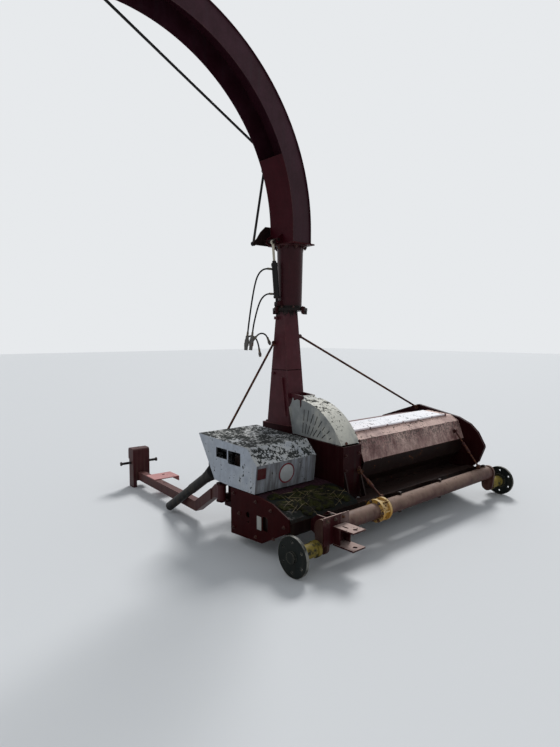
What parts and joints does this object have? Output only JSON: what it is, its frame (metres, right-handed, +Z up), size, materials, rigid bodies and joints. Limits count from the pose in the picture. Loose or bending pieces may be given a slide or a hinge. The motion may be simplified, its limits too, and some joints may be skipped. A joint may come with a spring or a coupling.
{
  "type": "trailed flail forage harvester",
  "caption": "Trailed double-chop flail forage harvester with a tall arched discharge spout, its tyres missing, standing on bare hub discs, skids and its drawbar.",
  "frame": {"origin": "centre of the bounding box on the floor, without the hoses", "axes": "+X to the machine's right, +Y forwards along the direction of travel, +Z up"},
  "size_m": [4.293, 3.0432, 4.2007],
  "materials": {
    "red_paint": "faded, matt, with rust",
    "faded_paint": "bleached pink, chalky",
    "white_paint": "chalky white with dark lichen",
    "yellow_paint": "worn satin",
    "black_paint": "worn satin",
    "black_plastic": "matt",
    "rubber": "matt",
    "chrome": "bright",
    "worn_steel": "dull"
  },
  "bodies": {
    "chassis": {"axle_tube": "red_paint", "axle_coupling": "yellow_paint", "side_frame": "red_paint", "deck": "red_paint", "rear_beam": "red_paint", "left_rail": "red_paint", "front_beam": "red_paint", "gearbox": "red_paint", "blower_housing": "red_paint", "lower_chute": "red_paint", "right_stay": "red_paint", "left_stay": "red_paint", "hood_rear": "red_paint", "hood_front": "red_paint", "end_plate": "red_paint", "auger_trough": "red_paint", "left_link": "red_paint", "right_link": "red_paint", "skids": "red_paint", "trailer_hitch": "red_paint", "cover_hinge": "red_paint"},
    "left_wheel": {"left_hub": "yellow_paint"},
    "right_wheel": {"right_hub": "yellow_paint"},
    "flail_rotor": {"flail_rotor": "red_paint"},
    "cross_auger": {"cross_auger": "red_paint"},
    "flywheel": {"flywheel": "red_paint"},
    "quarter_cover": {"fan_cover": "white_paint"},
    "hood_lid": {"hood_lid": "faded_paint"},
    "transmission_cover": {"transmission_cover": "white_paint"},
    "spout": {"turn_collar": "red_paint", "spout_arch": "red_paint", "spout_sides": "red_paint", "spout_foot": "red_paint"},
    "flap": {"deflector_flap": "red_paint"},
    "bell_crank": {"bell_crank": "red_paint"},
    "lower_rod": {"lower_rod": "black_paint"},
    "rocker": {"rocker_lever": "red_paint"},
    "long_rod": {"long_rod": "black_paint"},
    "cylinder_barrel": {"cylinder_barrel": "red_paint", "hose_a": "rubber", "hose_b": "rubber", "hose_c": "rubber", "hose_d": "rubber", "hose_couplers": "worn_steel", "hose_plugs": "worn_steel"},
    "cylinder_rod": {"cylinder_rod": "chrome"},
    "drawbar": {"drawbar_beam": "red_paint", "drawbar_plate": "faded_paint", "drawbar_head": "red_paint", "cross_bar": "black_paint"},
    "drive_shaft": {"drive_shaft": "worn_steel", "shaft_guard": "black_plastic"}
  },
  "joints": [
    {"name": "left_wheel_spin", "type": "hinge", "parent": "chassis", "child": "left_wheel", "pos_m": [-0.74145, -1.25558, 0.14], "axis": [1, 0, 0], "continuous": true},
    {"name": "right_wheel_spin", "type": "hinge", "parent": "chassis", "child": "right_wheel", "pos_m": [2.12855, -1.25558, 0.14], "axis": [1, 0, 0], "continuous": true},
    {"name": "rotor_spin", "type": "hinge", "parent": "chassis", "child": "flail_rotor", "pos_m": [1.05855, -0.27058, 0.4], "axis": [1, 0, 0], "continuous": true},
    {"name": "auger_spin", "type": "hinge", "parent": "chassis", "child": "cross_auger", "pos_m": [1.05855, -0.69558, 0.335], "axis": [1, 0, 0], "continuous": true},
    {"name": "flywheel_spin", "type": "hinge", "parent": "chassis", "child": "flywheel", "pos_m": [0.15855, -0.43557, 0.45], "axis": [1, 0, 0], "continuous": true},
    {"name": "quarter_cover_lift", "type": "hinge", "parent": "chassis", "child": "quarter_cover", "pos_m": [0.18855, -0.46358, 1.068], "axis": [-1, 0, 0], "range_deg": [0, 60]},
    {"name": "hood_lid_lift", "type": "hinge", "parent": "chassis", "child": "hood_lid", "pos_m": [0.81855, -0.85057, 0.799], "axis": [1, 0, 0], "range_deg": [0, 100]},
    {"name": "transmission_cover_lift", "type": "hinge", "parent": "chassis", "child": "transmission_cover", "pos_m": [-0.30645, 0.00843, 0.768], "axis": [-1, 0, 0], "range_deg": [0, 65]},
    {"name": "spout_turn", "type": "hinge", "parent": "chassis", "child": "spout", "pos_m": [0.18855, -0.22557, 1.824], "axis": [0, 0, 1], "range_deg": [-100, 100]},
    {"name": "deflector", "type": "hinge", "parent": "spout", "child": "flap", "pos_m": [-1.8086, -0.22557, 4.07069], "axis": [0, 1, 0], "range_deg": [-20, 25]},
    {"name": "crank_turn", "type": "hinge", "parent": "spout", "child": "bell_crank", "pos_m": [0.04455, -0.22557, 2.422], "axis": [0, 1, 0], "range_deg": [-20, 25]},
    {"name": "lower_rod_turn", "type": "hinge", "parent": "bell_crank", "child": "lower_rod", "pos_m": [-0.06545, -0.04057, 2.402], "axis": [0, 1, 0], "range_deg": [-25, 20]},
    {"name": "rocker_turn", "type": "hinge", "parent": "spout", "child": "rocker", "pos_m": [0.16855, -0.04057, 3.072], "axis": [0, 1, 0], "range_deg": [-20, 25]},
    {"name": "long_rod_turn", "type": "hinge", "parent": "rocker", "child": "long_rod", "pos_m": [0.10855, -0.04057, 3.182], "axis": [0, 1, 0], "range_deg": [-25, 20]},
    {"name": "cylinder_tilt", "type": "hinge", "parent": "spout", "child": "cylinder_barrel", "pos_m": [0.05355, -0.20558, 1.872], "axis": [0, 1, 0], "range_deg": [-0.87, 0.7]},
    {"name": "cylinder_stroke", "type": "slide", "parent": "cylinder_barrel", "child": "cylinder_rod", "axis": [-0.0924, 0, 0.9957], "range_m": [-0.01471, 0.01836]},
    {"name": "drawbar_swing", "type": "hinge", "parent": "chassis", "child": "drawbar", "pos_m": [-0.59145, -0.25557, 0.33], "axis": [0, 0, 1], "range_deg": [-25, 0]},
    {"name": "drive_shaft_lift", "type": "hinge", "parent": "chassis", "child": "drive_shaft", "pos_m": [-0.57145, -0.15557, 0.49], "axis": [1, 0, 0], "range_deg": [0, 30]}
  ],
  "couplings": [
    {"joint": "crank_turn", "follows": "deflector", "ratio": 1},
    {"joint": "lower_rod_turn", "follows": "deflector", "ratio": -1},
    {"joint": "rocker_turn", "follows": "deflector", "ratio": 1},
    {"joint": "long_rod_turn", "follows": "deflector", "ratio": -1},
    {"joint": "cylinder_tilt", "follows": "deflector", "ratio": -0.03434},
    {"joint": "cylinder_stroke", "follows": "deflector", "m_per_rad": 0.04186}
  ]
}
